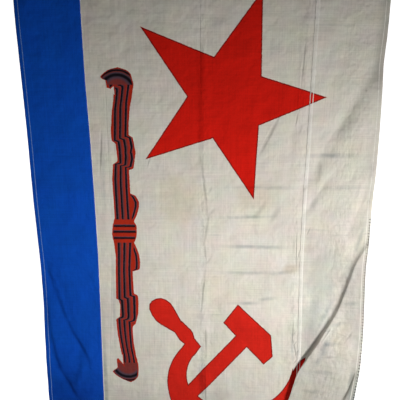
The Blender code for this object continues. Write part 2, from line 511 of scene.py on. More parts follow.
def turned_under(place, end):
    """Where a distance along the cloth lies once its first HEM, and its last, are turned back."""
    from_first = np.abs(place)
    folded = np.where(place > end, 2 * end - place, from_first)
    behind = np.maximum(-place, place - end)
    return folded, LAYER * np.clip(behind / TURN + 0.5, 0, 1)


def gathered(down, start, end, count):
    """Distances across for this many columns, which gather where the cloth bends."""
    row = min(int(round(down / ROW)), len(DOWNS) - 1)
    across = np.arange(0.0, WIDTH + STEP / 2, STEP)
    bend = np.abs(np.gradient(HUNG[row, 2], STEP))
    pull = 1 / FLAT_COLUMN + np.degrees(bend) / COLUMN_TURN
    for _, half_width, path in GROOVES:
        center, share = crossing_at(path, down)
        pull += share / FLAT_COLUMN * np.exp(-(((across - center) / (2 * half_width)) ** 2))
    inside = (across >= start) & (across <= end)
    total = np.concatenate([[0.0], np.cumsum(pull[inside]) * STEP])
    places = np.linspace(start, end, len(total))
    return np.interp(np.linspace(0, total[-1], count + 1), total, places)


def edge_columns(side):
    """The columns of a side hem, from its raw edge on the back round to the front."""
    if side == "left":
        return [-HEM, -HEM / 2, -0.002, -TURN / 2, 0.0, TURN / 2]
    return [WIDTH - TURN / 2, WIDTH, WIDTH + TURN / 2, WIDTH + 0.002, WIDTH + HEM / 2, WIDTH + HEM]


def panel_rows():
    """Distances down the flag for the rows of a panel, with a hem at each end."""
    body = list(np.linspace(TURN / 2, DROP - TURN / 2, PANEL_ROWS))
    top = [-HEM, -HEM / 2, -0.002, -TURN / 2, 0.0]
    bottom = [DROP - down for down in reversed(top)]
    return [*top, *body, *bottom]


def make_panel(name, start, end, count, lift, hem=None):
    """A panel of cloth from start to end across the flag, with a hem on its free side."""
    before = edge_columns("left") if hem == "left" else []
    after = edge_columns("right") if hem == "right" else []
    first = before[-1] if before else start
    last = after[0] if after else end
    rows = panel_rows()
    columns = count + max(len(before), len(after))
    if hem:
        columns -= 1
    bm = bmesh.new()
    bmesh.ops.create_grid(bm, x_segments=columns, y_segments=len(rows) - 1, size=0.5)
    lines = {}
    for vert in bm.verts:
        row = round((0.5 - vert.co.y) * (len(rows) - 1))
        lines.setdefault(row, []).append(vert)
    for row, verts in lines.items():
        verts.sort(key=lambda vert: vert.co.x)
        down = min(max(rows[row], 0), DROP)
        body = list(gathered(down, first, last, count))
        places = np.array([*before[:-1], *body, *after[1:]])
        across, behind = turned_under(places, WIDTH)
        down, under = turned_under(np.array([rows[row]]), DROP)
        height = lift - behind - (2 if hem else 1) * under[0]
        if hem == "right":
            height -= PRESSED * np.clip(1 - (across - start) / PRESSED_WIDTH, 0, 1)
        for k, vert in enumerate(verts):
            vert.co = (across[k], -down[0], height[k])
    bmesh.ops.recalc_face_normals(bm, faces=bm.faces)
    panel = new_piece(name, bm)
    hang(panel)
    panel.data.shade_smooth()
    body = panel.modifiers.new("cloth", "SOLIDIFY")
    body.thickness = CLOTH
    body.offset = 0.0
    return panel


HALF_LAP = LAP / 2
BLUE_OVER = 0.003  # how far the blue cloth reaches over the seam line
blue_panel = make_panel("blue_panel", 0.0, STRIPE_SEAM + BLUE_OVER, 44, 0.0, hem="left")
field_panel = make_panel("field_panel", STRIPE_SEAM - HALF_LAP, STRIP_SEAM + HALF_LAP, 150, -LAYER)
strip_panel = make_panel("strip_panel", STRIP_SEAM - HALF_LAP, WIDTH, 84, 0.0, hem="right")
print("faces:", [len(panel.data.polygons) for panel in (blue_panel, field_panel, strip_panel)])

# %% [markdown]
# Drawing with a material
#
# The star, the ribbon and the tools are printed into the white cloth, so they are colour and have no
# thickness. They are drawn here as a printer's cutter would draw them: each straight side is one
# signed distance, the largest of them is the distance to a convex shape, and the smallest of several
# shapes is their union. Where the distance is below zero the dye has taken. A little noise in the
# coordinates makes its edge bleed.

# %% Drawing with a material
EDGE = 0.0007  # the dye's edge fades over this distance


def node(tree, kind, *values, out=0, **settings):
    """A shader node with its inputs linked or set in order; None leaves one alone."""
    made = tree.nodes.new("ShaderNode" + kind)
    for name, value in settings.items():
        setattr(made, name, value)
    for socket, value in zip(made.inputs, values):
        if isinstance(value, bpy.types.NodeSocket):
            tree.links.new(value, socket)
        elif value is not None:
            socket.default_value = value
    return made.outputs[out]


def calc(tree, operation, *values):
    return node(tree, "Math", *values, operation=operation)


def joined(tree, operation, values):
    """One value from many, by MINIMUM, MAXIMUM or ADD. Each is used up before the next is made."""
    total = None
    for value in values:
        total = value if total is None else calc(tree, operation, total, value)
    return total


def mixed(tree, share, first, second, blend="MIX"):
    """One colour laid over another by a share from 0 to 1."""
    made = tree.nodes.new("ShaderNodeMix")
    made.data_type = "RGBA"
    made.blend_type = blend
    for place, value in ((0, share), (6, first), (7, second)):
        if isinstance(value, bpy.types.NodeSocket):
            tree.links.new(value, made.inputs[place])
        else:
            made.inputs[place].default_value = value if place == 0 else (*value, 1)
    return made.outputs[2]


def shape(tree, place, corners):
    """Distance to a convex shape: below zero inside it. The corners are (across, down)."""
    middle = np.mean(corners, axis=0)

    def sides():
        for corner, after in zip(corners, [*corners[1:], corners[0]]):
            run = np.subtract(after, corner)
            nx, ny = np.array((run[1], -run[0])) / np.hypot(*run)
            offset = -np.dot((nx, ny), corner)
            if np.dot((nx, ny), middle) + offset > 0:
                nx, ny, offset = -nx, -ny, -offset
            plane = (nx, ny, offset)
            yield node(tree, "VectorMath", place, plane, out="Value", operation="DOT_PRODUCT")

    return joined(tree, "MAXIMUM", sides())


def disc(tree, place, center, radius):
    """Distance to a round: below zero inside it."""
    apart = node(
        tree, "VectorMath", place, (center[0], center[1], 1), out="Value", operation="DISTANCE"
    )
    return calc(tree, "SUBTRACT", apart, radius)


def taken(tree, distance, edge=EDGE):
    """1 where the distance is below zero and 0 outside, with a soft edge."""
    return node(tree, "MapRange", distance, -edge, edge, 1.0, 0.0, interpolation_type="SMOOTHSTEP")


def ring(tree, distance, width):
    """1 on a line of this width that follows the shape's edge, just inside it."""
    from_line = calc(tree, "ABSOLUTE", calc(tree, "ADD", distance, width / 2))
    return taken(tree, calc(tree, "SUBTRACT", from_line, width / 2))


def noise(tree, place, scale, detail=2.0, **settings):
    return node(tree, "TexNoise", place, None, scale, detail, **settings)


def stretched(tree, place, across, down):
    """The place on the cloth with each direction multiplied, for streaks along the threads."""
    return node(tree, "VectorMath", place, (across, down, 1), operation="MULTIPLY")


def remapped(tree, value, low, high, to_low=0.0, to_high=1.0):
    return node(tree, "MapRange", value, low, high, to_low, to_high)


def cloth_material(name):
    """A new material with (tree, place on the cloth, the same place with a slight bleed)."""
    material = bpy.data.materials.new(name)
    material.use_nodes = True
    tree = material.node_tree
    attribute = tree.nodes.new("ShaderNodeAttribute")
    attribute.attribute_name = "flat"
    apart = tree.nodes.new("ShaderNodeSeparateXYZ")
    tree.links.new(attribute.outputs["Vector"], apart.inputs[0])
    place = node(tree, "CombineXYZ", apart.outputs[0], apart.outputs[1], 1.0)
    wander = noise(tree, place, 140.0, out="Color")
    wander = node(tree, "VectorMath", wander, (0.5, 0.5, 0.5), operation="SUBTRACT")
    wander = node(tree, "VectorMath", wander, (0.0022, 0.0022, 0), operation="MULTIPLY")
    bled = node(tree, "VectorMath", place, wander, operation="ADD")
    return material, tree, place, bled


print("a printed edge fades over", 1000 * EDGE, "mm")

# %% [markdown]
# Creases and marks
#
# A flag that lies folded for years keeps sharp creases that catch dirt, and water dries in lines
# along them. They could be cut into the mesh, but no mesh of this size could hold a line that thin.
# Each crease is drawn in the material as a stroke, which is both a dark line and a ridge or groove
# of a millimetre or so. Its dark line is dirt and painted shade, darker as the groove deepens. The
# marks are the same strokes without any height: some are lines where water dried, and many are
# painted shade in troughs, beside the pleat and along the seams.

# %% Creases and marks
CREASES = (  # (height, half width, start, end), each from (across, down) to (across, down)
    (-0.0006, 0.0035, (0.563, -0.10), (0.569, 0.62)),
    (-0.0010, 0.0070, (0.566, 0.58), (0.593, 0.83)),
    (-0.0010, 0.0070, (0.595, 0.79), (0.579, 0.90)),
    (-0.0009, 0.0065, (0.577, 0.87), (0.587, 0.99)),
    (-0.0010, 0.0060, (0.588, 0.94), (0.564, 1.20)),
    (-0.0010, 0.0060, (0.582, 1.17), (0.587, 1.35)),
    (-0.0012, 0.0050, (0.580, 1.31), (0.588, 1.62)),
    (-0.0011, 0.0032, (0.896, 1.240), (0.913, 1.212)),
    (-0.0011, 0.0032, (0.898, 1.280), (0.917, 1.248)),
    (-0.0013, 0.0034, (0.902, 1.320), (0.926, 1.280)),
    (-0.0013, 0.0034, (0.900, 1.352), (0.920, 1.318)),
    (-0.0005, 0.0040, (0.266, 0.20), (0.257, 0.90)),
    (-0.0005, 0.0040, (0.259, 0.80), (0.224, 1.55)),
    (-0.0016, 0.0032, (0.900, 0.820), (0.905, 1.030)),
    (-0.0018, 0.0040, (0.899, 1.160), (0.897, 1.280)),
    (-0.0018, 0.0040, (0.898, 1.240), (0.918, 1.345)),
    (-0.0009, 0.0050, (0.406, 0.570), (0.384, 0.640)),
    (0.0005, 0.0045, (0.881, 0.05), (0.883, 0.75)),
    (-0.0016, 0.0095, (0.836, 0.43), (0.752, 0.61)),
    (-0.0012, 0.0050, (0.894, 0.19), (0.885, 0.40)),
    (-0.0012, 0.0050, (0.887, 0.42), (0.872, 0.51)),
    (-0.0008, 0.0080, (0.588, 0.725), (0.608, 0.688)),
    (-0.0009, 0.0090, (0.592, 0.800), (0.620, 0.765)),
    (-0.0007, 0.0080, (0.590, 0.850), (0.562, 0.828)),
    (-0.0008, 0.0080, (0.585, 0.978), (0.606, 0.943)),
    (-0.0010, 0.0160, (0.742, 0.818), (0.802, 0.733)),
    (-0.0009, 0.0150, (0.796, 0.835), (0.850, 0.745)),
    (-0.0017, 0.0060, (0.247, 0.47), (0.226, 0.68)),
    (-0.0013, 0.0020, (0.919, 0.900), (0.903, 0.982)),
    (-0.0010, 0.0032, (0.949, 0.832), (0.931, 0.880)),
    (0.0012, 0.0050, (1.056, 1.17), (0.996, 1.28)),
    (0.0011, 0.0030, (0.900, 0.869), (1.150, 0.865)),
    (-0.0013, 0.0055, (1.012, 1.301), (1.072, 1.290)),
    (-0.0010, 0.0050, (1.008, 1.210), (1.056, 1.203)),
    (0.0012, 0.0045, (1.050, 1.204), (1.112, 1.221)),
    (-0.0010, 0.0060, (1.088, 1.238), (1.118, 1.190)),
    (-0.0014, 0.0040, (1.139, 1.310), (1.115, 1.450)),
    (-0.0013, 0.0030, (1.116, 0.860), (1.160, 0.851)),
    (0.0010, 0.0050, (1.110, 0.877), (1.165, 0.871)),
    (-0.0012, 0.0030, (1.122, 0.889), (1.162, 0.894)),
    (-0.0004, 0.0045, (0.000, 0.588), (0.210, 0.594)),
    (-0.0004, 0.0045, (0.000, 0.790), (0.210, 0.792)),
    (-0.0004, 0.0045, (0.000, 0.902), (0.210, 0.906)),
)
MARKS_AND_PAINTED_SHADE = (  # (darkness, half width, start, end): lines where water dried, and painted shade beside folds and seams
    (0.22, 0.0065, (0.840, 0.185), (1.130, 0.185)),
    (0.60, 0.0130, (0.870, 0.590), (1.150, 0.589)),
    (0.45, 0.0120, (0.610, 0.698), (0.960, 0.700)),
    (0.50, 0.0120, (0.940, 0.700), (1.150, 0.694)),
    (0.55, 0.0110, (0.575, 0.806), (0.880, 0.800)),
    (0.28, 0.0070, (0.860, 0.846), (1.050, 0.849)),
    (0.68, 0.0125, (0.575, 0.908), (0.930, 0.915)),
    (0.50, 0.0120, (0.575, 1.006), (0.920, 1.006)),
    (0.60, 0.0110, (0.640, 1.120), (0.810, 1.116)),
    (0.30, 0.0050, (0.575, 0.868), (0.660, 0.868)),
    (0.30, 0.0050, (0.590, 1.162), (0.660, 1.161)),
    (0.40, 0.0110, (0.246, 0.520), (0.232, 0.880)),
    (0.50, 0.0100, (0.2565, 0.860), (0.2540, 1.380)),
    # painted shade beside the stripe's seam
    (0.85, 0.0130, (0.2130, 1.050), (0.2150, 1.900)),
    (0.50, 0.0110, (1.060, 1.115), (1.140, 1.098)),
    (0.50, 0.0110, (1.030, 1.190), (1.100, 1.168)),
    (0.50, 0.0120, (1.000, 1.258), (1.095, 1.240)),
    (0.50, 0.0130, (0.970, 1.360), (1.090, 1.340)),
    (0.50, 0.0130, (0.960, 1.435), (1.070, 1.420)),
    # painted shade in the troughs of the blue stripe
    (0.55, 0.0100, (0.010, 0.975), (0.060, 1.075)),
    (0.60, 0.0120, (0.040, 1.020), (0.085, 1.210)),
    (0.60, 0.0110, (0.075, 1.170), (0.160, 1.345)),
    (0.60, 0.0100, (0.012, 1.285), (0.070, 1.415)),
    (0.60, 0.0110, (0.050, 1.385), (0.135, 1.530)),
    # painted shade beside the long pleat
    (0.22, 0.0450, (1.020, 1.040), (0.915, 1.380)),
    (0.75, 0.0200, (1.048, 1.190), (0.988, 1.370)),
    (0.55, 0.0150, (1.058, 1.060), (0.975, 1.240)),
    # painted shade along the fly edge of the flap
    (0.80, 0.0080, (1.146, 1.250), (1.148, 1.720)),
    (0.55, 0.0120, (0.751, 1.109), (0.857, 1.093)),
    (0.45, 0.0120, (0.806, 1.017), (0.904, 0.995)),
    (0.60, 0.0180, (0.570, 1.200), (0.578, 1.640)),
    (0.55, 0.0140, (1.118, 1.270), (1.146, 1.500)),
    # painted shadow of the wrinkles beside the strip's seam
    (0.45, 0.0080, (0.893, 1.160), (0.905, 1.400)),
    (0.50, 0.0110, (1.098, 0.970), (1.133, 0.800)),
    # painted shadow along the flap's lip, and in the next two beside the pleat's lip
    (0.50, 0.0090, (0.970, 1.320), (0.930, 1.500)),
    (0.30, 0.0035, (1.138, 0.880), (1.092, 1.045)),
    (0.30, 0.0035, (1.104, 1.010), (1.050, 1.155)),
)
# the creases' dark colour: dirt caught in them, and painted shade that deepens with the groove
CREASE_DIRT_AND_SHADE = (0.26, 0.26, 0.26)
# tint of the marks, for the water lines and the painted shade alike
MARK_AND_SHADE_TINT = (0.44, 0.50, 0.55)
DEEP = 0.0013  # a groove this deep takes the full dark colour of dirt and painted shade


def stroke(tree, place, half_width, start, end):
    """1 along a line between two points of the cloth, thinning to its ends, and 0 beside it."""
    run = np.subtract(end, start)
    moved = node(
        tree,
        "Mapping",
        place,
        (*np.add(start, end) / 2, 1),
        (0, 0, math.atan2(run[1], run[0])),
        (np.hypot(*run) / 2, half_width, 1),
        vector_type="TEXTURE",
    )
    far = node(tree, "VectorMath", moved, out="Value", operation="LENGTH")
    return node(tree, "MapRange", far, 0, 1, 1, 0, interpolation_type="SMOOTHSTEP")


def strokes(tree, place, lines, span):
    """The strengths of the lines that touch a span across, each times its stroke, added up."""
    total = 0.0
    for strength, *line in lines:
        if max(line[1][0], line[2][0]) >= span[0] and min(line[1][0], line[2][0]) <= span[1]:
            total = calc(tree, "MULTIPLY_ADD", stroke(tree, place, *line), strength, total)
    return total


print("creases:", len(CREASES), "marks:", len(MARKS_AND_PAINTED_SHADE))

# %% [markdown]
# Threads, dirt, stains and painted shade
#
# Every panel is the same plain cotton with another dye, so one function finishes them all. Threads
# of uneven thickness give slight streaks both ways, and handling has greyed the cloth in broad
# patches. Water has left ragged stains, which are ellipses whose edge a noise pulls about, and some
# of the same grey ellipses are painted shade. Along each row of stitches the cloth has stayed a
# little cleaner. The weave itself is only a bump.

# %% Threads, dirt, stains and painted shade
THREAD = 0.0011  # from thread to thread
WEAVE = 0.00006  # heights of the threads, of their thick places and of the crumples over them
SLUBS = 0.00025
CRUMPLE = 0.0075
WRINKLED = (  # (across, reach, height), where the cloth is wrinkled all the way down
    (0.578, 0.024, 0.0036),
    (0.900, 0.030, 0.0036),
    (1.060, 0.110, 0.0040),
)
ROW_FADE = 0.0013  # a row's edge fades over this distance
GRIME_AND_SHADE = 0.38  # how much of the dark colour of dirt and painted shade a full groove takes
PATCHY = 0.18  # how much the colour varies from patch to patch, and its even part
EVEN = 0.91


def with_rows(tree, place, colour, rows):
    """A colour with lighter lines down the flag: each is (across, half width, tint, strength)."""
    apart = tree.nodes.new("ShaderNodeSeparateXYZ")
    tree.links.new(place, apart.inputs[0])
    for row, reach, tint, strength in rows:
        near = calc(tree, "ABSOLUTE", calc(tree, "SUBTRACT", apart.outputs[0], row))
        colour = mixed(tree, remapped(tree, near, reach - ROW_FADE, reach, strength, 0), colour, tint)
    return colour


def finish_cloth(
    material, tree, place, colour, span, stains_and_shade=(), soil=(0.62, 0.60, 0.56), fade=0.22, rows=()
):
    """Adds threads, dirt, stains and painted shade to a colour and connects it to the material's
    shader.
    """
    warp = noise(tree, stretched(tree, place, 420, 6), 1.0, 3.0)
    weft = noise(tree, stretched(tree, place, 6, 420), 1.0, 3.0)
    streaks = calc(tree, "ADD", warp, weft)
    streaks = remapped(tree, streaks, 0.75, 1.25, 0.895, 1.065)
    streaks = node(tree, "CombineColor", streaks, streaks, streaks)
    colour = mixed(tree, 1.0, colour, streaks, "MULTIPLY")
    patchy = noise(tree, place, 15.0, 4.0, out="Color")
    patchy = node(tree, "VectorMath", patchy, (PATCHY,) * 3, (EVEN,) * 3, operation="MULTIPLY_ADD")
    colour = mixed(tree, 1.0, colour, patchy, "MULTIPLY")
    broad = noise(tree, place, 5.5, 5.0)
    greyed = remapped(tree, broad, 0.46, 0.74, 0.0, fade)
    colour = mixed(tree, greyed, colour, soil, "MULTIPLY")
    # ragged patches: stains, and grey patches of painted shade
    for tint, strength, center, radii in stains_and_shade:
        moved = node(tree, "VectorMath", place, (*center, 1), operation="SUBTRACT")
        moved = node(tree, "VectorMath", moved, (*radii, 1), operation="DIVIDE")
        far = node(tree, "VectorMath", moved, out="Value", operation="LENGTH")
        ragged = calc(tree, "MULTIPLY_ADD", noise(tree, place, 26.0, 4.0), 0.9, far)
        share = remapped(tree, ragged, 0.85, 1.45, strength, 0.0)
        colour = mixed(tree, share, colour, tint, "MULTIPLY")
    uneven = remapped(tree, noise(tree, place, 38.0, 3.0), 0.30, 0.62, 0.45, 1.0)
    # the marks: water lines, and painted shade beside folds, the pleat and the seams
    marks_and_shade = strokes(tree, place, MARKS_AND_PAINTED_SHADE, span)
    colour = mixed(tree, calc(tree, "MULTIPLY", marks_and_shade, uneven), colour, MARK_AND_SHADE_TINT, "MULTIPLY")
    folded = strokes(tree, place, CREASES, span)
    # creases darken with their depth: dirt, and painted shade
    dirt_and_shade = calc(tree, "MULTIPLY", remapped(tree, folded, 0, -DEEP, 0, GRIME_AND_SHADE), uneven)
    colour = mixed(tree, dirt_and_shade, colour, CREASE_DIRT_AND_SHADE, "MULTIPLY")
    colour = with_rows(tree, place, colour, rows)
    apart = tree.nodes.new("ShaderNodeSeparateXYZ")
    tree.links.new(place, apart.inputs[0])
    over = calc(tree, "SINE", calc(tree, "MULTIPLY", apart.outputs[0], math.tau / THREAD))
    under = calc(tree, "SINE", calc(tree, "MULTIPLY", apart.outputs[1], math.tau / THREAD))
    weave = calc(tree, "MULTIPLY", over, under)
    rough = calc(tree, "MULTIPLY_ADD", noise(tree, place, 90.0, 4.0), SLUBS, folded)
    rough = calc(tree, "MULTIPLY_ADD", weave, WEAVE, rough)
    rough = calc(tree, "MULTIPLY_ADD", noise(tree, place, 20.0, 5.0), CRUMPLE, rough)
    for line, reach, height in WRINKLED:
        if span[0] <= line <= span[1]:
            off = calc(tree, "ABSOLUTE", calc(tree, "SUBTRACT", apart.outputs[0], line))
            near = remapped(tree, off, 0, reach, height, 0)
            fine = noise(tree, stretched(tree, place, 75.0, 50.0), 1.0, 3.0)
            rough = calc(tree, "MULTIPLY_ADD", fine, near, rough)
    shader = tree.nodes["Principled BSDF"]
    bump = tree.nodes.new("ShaderNodeBump")
    bump.inputs["Strength"].default_value = 1.0
    bump.inputs["Distance"].default_value = 1.0
    tree.links.new(rough, bump.inputs["Height"])
    tree.links.new(bump.outputs[0], shader.inputs["Normal"])
    tree.links.new(colour, shader.inputs["Base Color"])
    shader.inputs["Roughness"].default_value = 0.95
    shader.inputs["Specular IOR Level"].default_value = 0.05
    return material


print("threads to the centimetre:", round(0.01 / THREAD))

# %% [markdown]
# Dyes, stains and painted shade
#
# The white cotton has yellowed, and the stripe is dyed right through, which makes it dark and even.
# Each stain is a tint that is multiplied with the colour below it, as dirt in cloth does, so a stain
# runs on over the print. A colour laid on top would hide the dye. Two grey patches, beside the long
# pleat and along the flap's fly edge, are painted shade laid the same way. The blue has no stain,
# only one broad patch of painted shade low on the stripe.

# %% Dyes, stains and painted shade
WHITE = (0.70, 0.66, 0.575)
BLUE = (0.004, 0.078, 0.510)
RED = (0.64, 0.0110, 0.0055)
TOOL_RED = (0.62, 0.018, 0.010)
DARK_RED = (0.12, 0.008, 0.007)
YELLOWED = (0.90, 0.83, 0.68)  # this and the next tints are multiplied with the dye below
GREY_DIRT_AND_SHADE = (0.72, 0.73, 0.74)
BROWNED = (0.80, 0.72, 0.62)
BLUED = (0.88, 0.95, 1.00)
SHADED = (0.40, 0.45, 0.55)
CLEAN = (0.84, 0.81, 0.73)  # cloth that the stitches' tension has kept clean, along their rows
PALE_BLUE = (0.10, 0.22, 0.55)
SEAM_ROW = 0.0045  # rows of stitches, from the seam line and from an outer edge
HEM_ROW = 0.0125
ROW_REACH = 0.0022  # half width of the clean cloth along a row
# real stains, and some grey patches of painted shade, each marked below
STAINS_AND_SHADE = (  # (tint, strength, middle, half size across and down)
    (YELLOWED, 0.40, (0.497, 0.742), (0.110, 0.100)),
    (YELLOWED, 0.40, (0.753, 0.735), (0.090, 0.070)),
    (YELLOWED, 0.30, (1.079, 1.228), (0.045, 0.060)),
    (GREY_DIRT_AND_SHADE, 0.18, (0.835, 1.040), (0.070, 0.085)),
    (BLUED, 0.60, (0.990, 1.110), (0.070, 0.130)),
    (GREY_DIRT_AND_SHADE, 0.75, (1.115, 1.080), (0.060, 0.210)),
    (GREY_DIRT_AND_SHADE, 0.50, (1.060, 1.400), (0.090, 0.160)),
    (GREY_DIRT_AND_SHADE, 0.70, (1.010, 1.000), (0.110, 0.160)),
    # a darker band along the fly edge near the top
    (GREY_DIRT_AND_SHADE, 0.80, (1.140, 0.230), (0.030, 0.200)),
    (BROWNED, 0.60, (0.886, 0.992), (0.036, 0.024)),
    # darkens the field towards its bottom left
    (GREY_DIRT_AND_SHADE, 0.70, (0.330, 1.620), (0.160, 0.200)),
    (YELLOWED, 0.25, (0.640, 1.080), (0.080, 0.110)),
    # painted shade beside the long pleat
    (GREY_DIRT_AND_SHADE, 0.80, (0.962, 1.240), (0.050, 0.150)),
    # painted shade along the fly edge of the flap
    (GREY_DIRT_AND_SHADE, 0.80, (1.138, 1.420), (0.020, 0.220)),
    (GREY_DIRT_AND_SHADE, 0.60, (0.630, 1.520), (0.060, 0.160)),
)


def blue_material():
    material, tree, place, _ = cloth_material("blue_dye")
    span = (0, STRIPE_SEAM)
    rows = ((HEM_ROW, ROW_REACH, PALE_BLUE, 0.5),)
    # painted shade over the lower part of the stripe
    stains_and_shade = ((SHADED, 0.60, (0.090, 1.520), (0.150, 0.170)),)
    return finish_cloth(
        material, tree, place, BLUE, span, stains_and_shade, soil=(0.9, 0.75, 0.7), fade=0.4, rows=rows
    )


print("stains on the white cloth:", len(STAINS_AND_SHADE))

# %% [markdown]
# The star
#
# Five narrow points round a small middle, each a little different from the others, because the
# cloth has stretched since it was printed. Each point is a triangle that reaches a short way into
# the pentagon of the inner corners, so their union has no seam. A darker line follows the edge,
# where the dye has gathered.

# %% The star
STAR_TIPS = ((0.972, 0.401), (0.748, 0.738), (0.386, 0.600), (0.383, 0.191), (0.754, 0.088))
STAR_NOTCHES = ((0.756, 0.490), (0.607, 0.531), (0.525, 0.399), (0.609, 0.279), (0.759, 0.337))
OVERLAP = 0.010  # how far a point reaches into the middle
OUTLINE = 0.0036  # width of the dark line along the edge, and how dark it is
GATHERED_DYE = 0.75
CREEP = 0.0010  # how far the dye crept past the cutter's line


def star(tree, place):
    """Distance to the printed star."""
    outlines = [STAR_NOTCHES]
    for k, tip in enumerate(STAR_TIPS):
        base = []
        for notch in (STAR_NOTCHES[k], STAR_NOTCHES[k - 1]):
            away = np.subtract(notch, tip)
            base.append(tip + away * (1 + OVERLAP / np.hypot(*away)))
        outlines.append((tip, *base))
    printed = joined(tree, "MINIMUM", (shape(tree, place, corners) for corners in outlines))
    return calc(tree, "SUBTRACT", printed, CREEP)


reach = [tip[0] for tip in STAR_TIPS]
print("star in mm across:", round(1000 * (max(reach) - min(reach))))

# %% [markdown]
# The hammer and sickle
#
# The head of the hammer and its handle are two convex shapes. The blade is what is left of a disc
# when a smaller one is taken out of it off centre, which thins it to a point. Its heel is a second,
# thicker crescent, and the grip is three short pieces with a round end.

# %% The hammer and sickle
HAMMER = (
    ((0.701, 1.124), (0.820, 1.235), (0.828, 1.316), (0.797, 1.347), (0.650, 1.191)),
    ((0.704, 1.228), (0.746, 1.266), (0.592, 1.442), (0.430, 1.622), (0.392, 1.588), (0.582, 1.364)),
)
GRIP_END = (
    (0.384, 1.126), (0.392, 1.114), (0.408, 1.105), (0.426, 1.103), (0.443, 1.109), (0.459, 1.121),
    (0.470, 1.137), (0.502, 1.196), (0.478, 1.230), (0.423, 1.199), (0.407, 1.187), (0.392, 1.166),
    (0.383, 1.144),
)
GRIP = (
    GRIP_END,
    ((0.499, 1.186), (0.532, 1.219), (0.539, 1.229), (0.544, 1.250), (0.514, 1.276), (0.491, 1.256),
     (0.470, 1.220)),
    ((0.534, 1.239), (0.541, 1.247), (0.568, 1.282), (0.543, 1.318), (0.493, 1.296), (0.512, 1.268)),
)
BLADE = (0.680, 1.434)
BLADE_RADIUS = 0.233
HOLLOW = (0.700, 1.335)
HOLLOW_RADIUS = 0.205
BLADE_CUT = ((0.430, 1.420), (0.950, 1.328), (1.100, 1.800), (0.350, 1.800))
HEEL = (0.645, 1.424)
HEEL_RADIUS = 0.200
HEEL_HOLLOW = (0.641, 1.395)
HEEL_HOLLOW_RADIUS = 0.126
HEEL_CUT = (
    (0.500, 1.284), (0.553, 1.302), (0.560, 1.400), (0.530, 1.460), (0.440, 1.500), (0.420, 1.380),
)
POINT = (
    (0.954, 1.312), (0.928, 1.330), (0.899, 1.385), (0.893, 1.430), (0.936, 1.470), (0.942, 1.390),
)


def crescent(tree, place, outer, outer_radius, hollow, hollow_radius, cut):
    """Distance to what one disc leaves of another inside a convex cut."""
    taken_out = calc(tree, "MULTIPLY", disc(tree, place, hollow, hollow_radius), -1.0)
    left_over = calc(tree, "MAXIMUM", disc(tree, place, outer, outer_radius), taken_out)
    return calc(tree, "MAXIMUM", left_over, shape(tree, place, cut))


def blade(tree, place):
    """Distance to the sickle's blade, up to its point."""
    ring_part = crescent(tree, place, BLADE, BLADE_RADIUS, HOLLOW, HOLLOW_RADIUS, BLADE_CUT)
    return calc(tree, "MINIMUM", ring_part, shape(tree, place, POINT))


def tools(tree, place):
    """Distance to the printed hammer and sickle."""
    rest = joined(tree, "MINIMUM", (shape(tree, place, c) for c in (*HAMMER, *GRIP)))
    heel = crescent(tree, place, HEEL, HEEL_RADIUS, HEEL_HOLLOW, HEEL_HOLLOW_RADIUS, HEEL_CUT)
    printed = joined(tree, "MINIMUM", [blade(tree, place), rest, heel])
    return calc(tree, "SUBTRACT", printed, CREEP)


thickest = BLADE_RADIUS - HOLLOW_RADIUS + math.dist(BLADE, HOLLOW)
print("blade in mm at its widest:", round(1000 * thickest))

# %% [markdown]
# The ribbon's outline
#
# A striped ribbon is printed beside the blue stripe, tied in a knot halfway along, with a loop above
# the knot and one below it, and a curl at each end. Polygons would take a great many nodes, but the
# ribbon crosses every row only once. So its edges are two curves, read against the distance down the
# cloth, and what lies between them is ribbon.

# %% The ribbon's outline
RIBBON_LEFT = (  # (down, across)
    (0.305, 0.306), (0.309, 0.305), (0.312, 0.289), (0.320, 0.269), (0.338, 0.249), (0.345, 0.257),
    (0.348, 0.266), (0.372, 0.268), (0.378, 0.290), (0.413, 0.286), (0.443, 0.280), (0.510, 0.273),
    (0.543, 0.274), (0.546, 0.286), (0.581, 0.289), (0.611, 0.290), (0.615, 0.275), (0.672, 0.269),
    (0.761, 0.270), (0.807, 0.270), (0.833, 0.262), (0.865, 0.258), (0.882, 0.260), (0.897, 0.263),
    (0.948, 0.267), (0.996, 0.265), (1.107, 0.263), (1.109, 0.271), (1.130, 0.277), (1.176, 0.275),
    (1.179, 0.261), (1.236, 0.265), (1.289, 0.273), (1.325, 0.279), (1.334, 0.258), (1.370, 0.261),
    (1.384, 0.240), (1.401, 0.255), (1.416, 0.277), (1.426, 0.302), (1.432, 0.320),
)
RIBBON_RIGHT = (
    (0.305, 0.304), (0.309, 0.306), (0.312, 0.319), (0.319, 0.337), (0.330, 0.347), (0.348, 0.351),
    (0.361, 0.354), (0.381, 0.350), (0.405, 0.346), (0.433, 0.339), (0.483, 0.333), (0.525, 0.331),
    (0.526, 0.344), (0.580, 0.352), (0.636, 0.342), (0.637, 0.327), (0.672, 0.328), (0.722, 0.328),
    (0.724, 0.345), (0.750, 0.357), (0.768, 0.356), (0.798, 0.347), (0.819, 0.336), (0.835, 0.345),
    (0.865, 0.345), (0.884, 0.341), (0.897, 0.334), (0.920, 0.344), (0.943, 0.351), (0.972, 0.353),
    (0.995, 0.351), (1.000, 0.341), (1.003, 0.325), (1.035, 0.326), (1.088, 0.328), (1.089, 0.342),
    (1.121, 0.344), (1.163, 0.342), (1.203, 0.331), (1.206, 0.321), (1.235, 0.321), (1.279, 0.324),
    (1.318, 0.330), (1.354, 0.338), (1.378, 0.339), (1.403, 0.337), (1.419, 0.325), (1.430, 0.306),
)
RIBBON_FROM, RIBBON_TO = 0.309, 1.428
CURVE_FROM, CURVE_TO = 0.30, 1.44
ACROSS_FROM, ACROSS_TO = 0.22, 0.38
